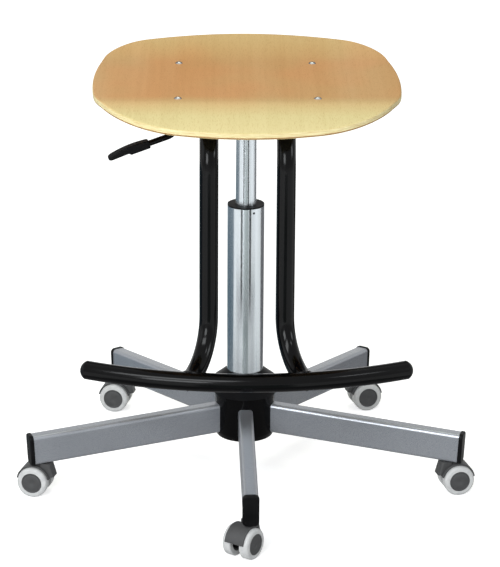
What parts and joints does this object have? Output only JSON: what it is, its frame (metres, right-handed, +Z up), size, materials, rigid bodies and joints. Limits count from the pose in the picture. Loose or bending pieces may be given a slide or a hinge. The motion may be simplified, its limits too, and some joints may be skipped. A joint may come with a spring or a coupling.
{
  "type": "adjustable stool",
  "caption": "Height-adjustable swivel stool with a moulded plywood seat, gas column and lever, bent-tube footrest and a star base on twin-wheel casters.",
  "frame": {"origin": "on the floor, under the gas column's axis", "axes": "+Z is up along the gas column, -Y is towards the sitter's knees where the footrest is, and -X is the side with the height lever"},
  "size_m": [0.6245, 0.5853, 0.5731],
  "materials": {
    "plywood": "clear lacquered beech plywood",
    "chrome": "bright chrome plate",
    "black_paint": "gloss black powder coat on steel",
    "black_plastic": "fine-grained black plastic",
    "silver_paint": "satin silver-grey powder coat on steel",
    "bright_steel": "zinc plated steel",
    "plain_steel": "plain machined steel",
    "buffer_rubber": "black rubber",
    "grey_plastic": "dark grey moulded plastic",
    "grey_tyre": "light grey soft tread"
  },
  "bodies": {
    "base": {"hub": "black_paint", "hub_cover": "black_plastic", "arm_1": "silver_paint", "arm_2": "silver_paint", "arm_3": "silver_paint", "arm_4": "silver_paint", "arm_5": "silver_paint", "arm_end_caps": "black_plastic", "caster_stems": "plain_steel", "outer_tube": "chrome", "guide_bush": "black_plastic", "thrust_bearing": "plain_steel"},
    "spindle": {"piston_rod": "bright_steel", "buffer_ring": "buffer_rubber", "bearing_upper_race": "plain_steel", "retaining_clip": "plain_steel"},
    "seat": {"gas_cylinder": "chrome", "taper_socket": "black_paint", "seat_plate": "black_paint", "seat_shell": "plywood", "seat_bolts": "bright_steel", "seat_nuts": "plain_steel", "lever_pivot": "plain_steel", "footrest_tube_left": "black_paint", "footrest_tube_right": "black_paint", "footrest_bar": "black_paint", "footrest_end_caps": "black_plastic"},
    "lever": {"lever_rod": "black_paint", "lever_grip": "black_plastic"},
    "valve": {"valve_pin": "plain_steel"},
    "caster_1": {"caster_1_hood": "grey_plastic", "caster_1_axle": "plain_steel"},
    "caster_1_left_wheel": {"caster_1_left_core": "grey_plastic", "caster_1_left_tyre": "grey_tyre"},
    "caster_1_right_wheel": {"caster_1_right_core": "grey_plastic", "caster_1_right_tyre": "grey_tyre"},
    "caster_2": {"caster_2_hood": "grey_plastic", "caster_2_axle": "plain_steel"},
    "caster_2_left_wheel": {"caster_2_left_core": "grey_plastic", "caster_2_left_tyre": "grey_tyre"},
    "caster_2_right_wheel": {"caster_2_right_core": "grey_plastic", "caster_2_right_tyre": "grey_tyre"},
    "caster_3": {"caster_3_hood": "grey_plastic", "caster_3_axle": "plain_steel"},
    "caster_3_left_wheel": {"caster_3_left_core": "grey_plastic", "caster_3_left_tyre": "grey_tyre"},
    "caster_3_right_wheel": {"caster_3_right_core": "grey_plastic", "caster_3_right_tyre": "grey_tyre"},
    "caster_4": {"caster_4_hood": "grey_plastic", "caster_4_axle": "plain_steel"},
    "caster_4_left_wheel": {"caster_4_left_core": "grey_plastic", "caster_4_left_tyre": "grey_tyre"},
    "caster_4_right_wheel": {"caster_4_right_core": "grey_plastic", "caster_4_right_tyre": "grey_tyre"},
    "caster_5": {"caster_5_hood": "grey_plastic", "caster_5_axle": "plain_steel"},
    "caster_5_left_wheel": {"caster_5_left_core": "grey_plastic", "caster_5_left_tyre": "grey_tyre"},
    "caster_5_right_wheel": {"caster_5_right_core": "grey_plastic", "caster_5_right_tyre": "grey_tyre"}
  },
  "joints": [
    {"name": "seat_spin", "type": "hinge", "parent": "base", "child": "spindle", "pos_m": [0, 0, 0.065], "axis": [0, 0, 1], "continuous": true},
    {"name": "seat_lift", "type": "slide", "parent": "spindle", "child": "seat", "axis": [0, 0, 1], "range_m": [-0.07, 0.055]},
    {"name": "lever_pull", "type": "hinge", "parent": "seat", "child": "lever", "pos_m": [-0.038, 0, 0.53099], "axis": [0, 1, 0], "range_deg": [0, 6], "stiffness_Nm_per_rad": 4, "springref_deg": -2.86},
    {"name": "valve_press", "type": "slide", "parent": "seat", "child": "valve", "axis": [0, 0, -1], "range_m": [0, 0.0045]},
    {"name": "caster_1_swivel", "type": "hinge", "parent": "base", "child": "caster_1", "pos_m": [0.00298, -0.28498, 0.0469], "axis": [0, 0, 1], "continuous": true},
    {"name": "caster_1_left_roll", "type": "hinge", "parent": "caster_1", "child": "caster_1_left_wheel", "pos_m": [-0.00619, -0.29809, 0.021], "axis": [0.8192, -0.5736, 0], "continuous": true},
    {"name": "caster_1_right_roll", "type": "hinge", "parent": "caster_1", "child": "caster_1_right_wheel", "pos_m": [-0.00619, -0.29809, 0.021], "axis": [0.8192, -0.5736, 0], "continuous": true},
    {"name": "caster_2_swivel", "type": "hinge", "parent": "base", "child": "caster_2", "pos_m": [0.27196, -0.08523, 0.0469], "axis": [0, 0, 1], "continuous": true},
    {"name": "caster_2_left_roll", "type": "hinge", "parent": "caster_2", "child": "caster_2_left_wheel", "pos_m": [0.28755, -0.08163, 0.021], "axis": [-0.225, 0.9744, 0], "continuous": true},
    {"name": "caster_2_right_roll", "type": "hinge", "parent": "caster_2", "child": "caster_2_right_wheel", "pos_m": [0.28755, -0.08163, 0.021], "axis": [-0.225, 0.9744, 0], "continuous": true},
    {"name": "caster_3_swivel", "type": "hinge", "parent": "base", "child": "caster_3", "pos_m": [0.1651, 0.23231, 0.0469], "axis": [0, 0, 1], "continuous": true},
    {"name": "caster_3_left_roll", "type": "hinge", "parent": "caster_3", "child": "caster_3_left_wheel", "pos_m": [0.18055, 0.23645, 0.021], "axis": [-0.2588, 0.9659, 0], "continuous": true},
    {"name": "caster_3_right_roll", "type": "hinge", "parent": "caster_3", "child": "caster_3_right_wheel", "pos_m": [0.18055, 0.23645, 0.021], "axis": [-0.2588, 0.9659, 0], "continuous": true},
    {"name": "caster_4_swivel", "type": "hinge", "parent": "base", "child": "caster_4", "pos_m": [-0.16992, 0.2288, 0.0469], "axis": [0, 0, 1], "continuous": true},
    {"name": "caster_4_left_roll", "type": "hinge", "parent": "caster_4", "child": "caster_4_left_wheel", "pos_m": [-0.18557, 0.23213, 0.021], "axis": [-0.2079, -0.9781, 0], "continuous": true},
    {"name": "caster_4_right_roll", "type": "hinge", "parent": "caster_4", "child": "caster_4_right_wheel", "pos_m": [-0.18557, 0.23213, 0.021], "axis": [-0.2079, -0.9781, 0], "continuous": true},
    {"name": "caster_5_swivel", "type": "hinge", "parent": "base", "child": "caster_5", "pos_m": [-0.27011, -0.0909, 0.0469], "axis": [0, 0, 1], "continuous": true},
    {"name": "caster_5_left_roll", "type": "hinge", "parent": "caster_5", "child": "caster_5_left_wheel", "pos_m": [-0.28557, -0.08676, 0.021], "axis": [-0.2588, -0.9659, 0], "continuous": true},
    {"name": "caster_5_right_roll", "type": "hinge", "parent": "caster_5", "child": "caster_5_right_wheel", "pos_m": [-0.28557, -0.08676, 0.021], "axis": [-0.2588, -0.9659, 0], "continuous": true}
  ],
  "couplings": [
    {"joint": "valve_press", "follows": "lever_pull", "m_per_rad": 0.042}
  ]
}
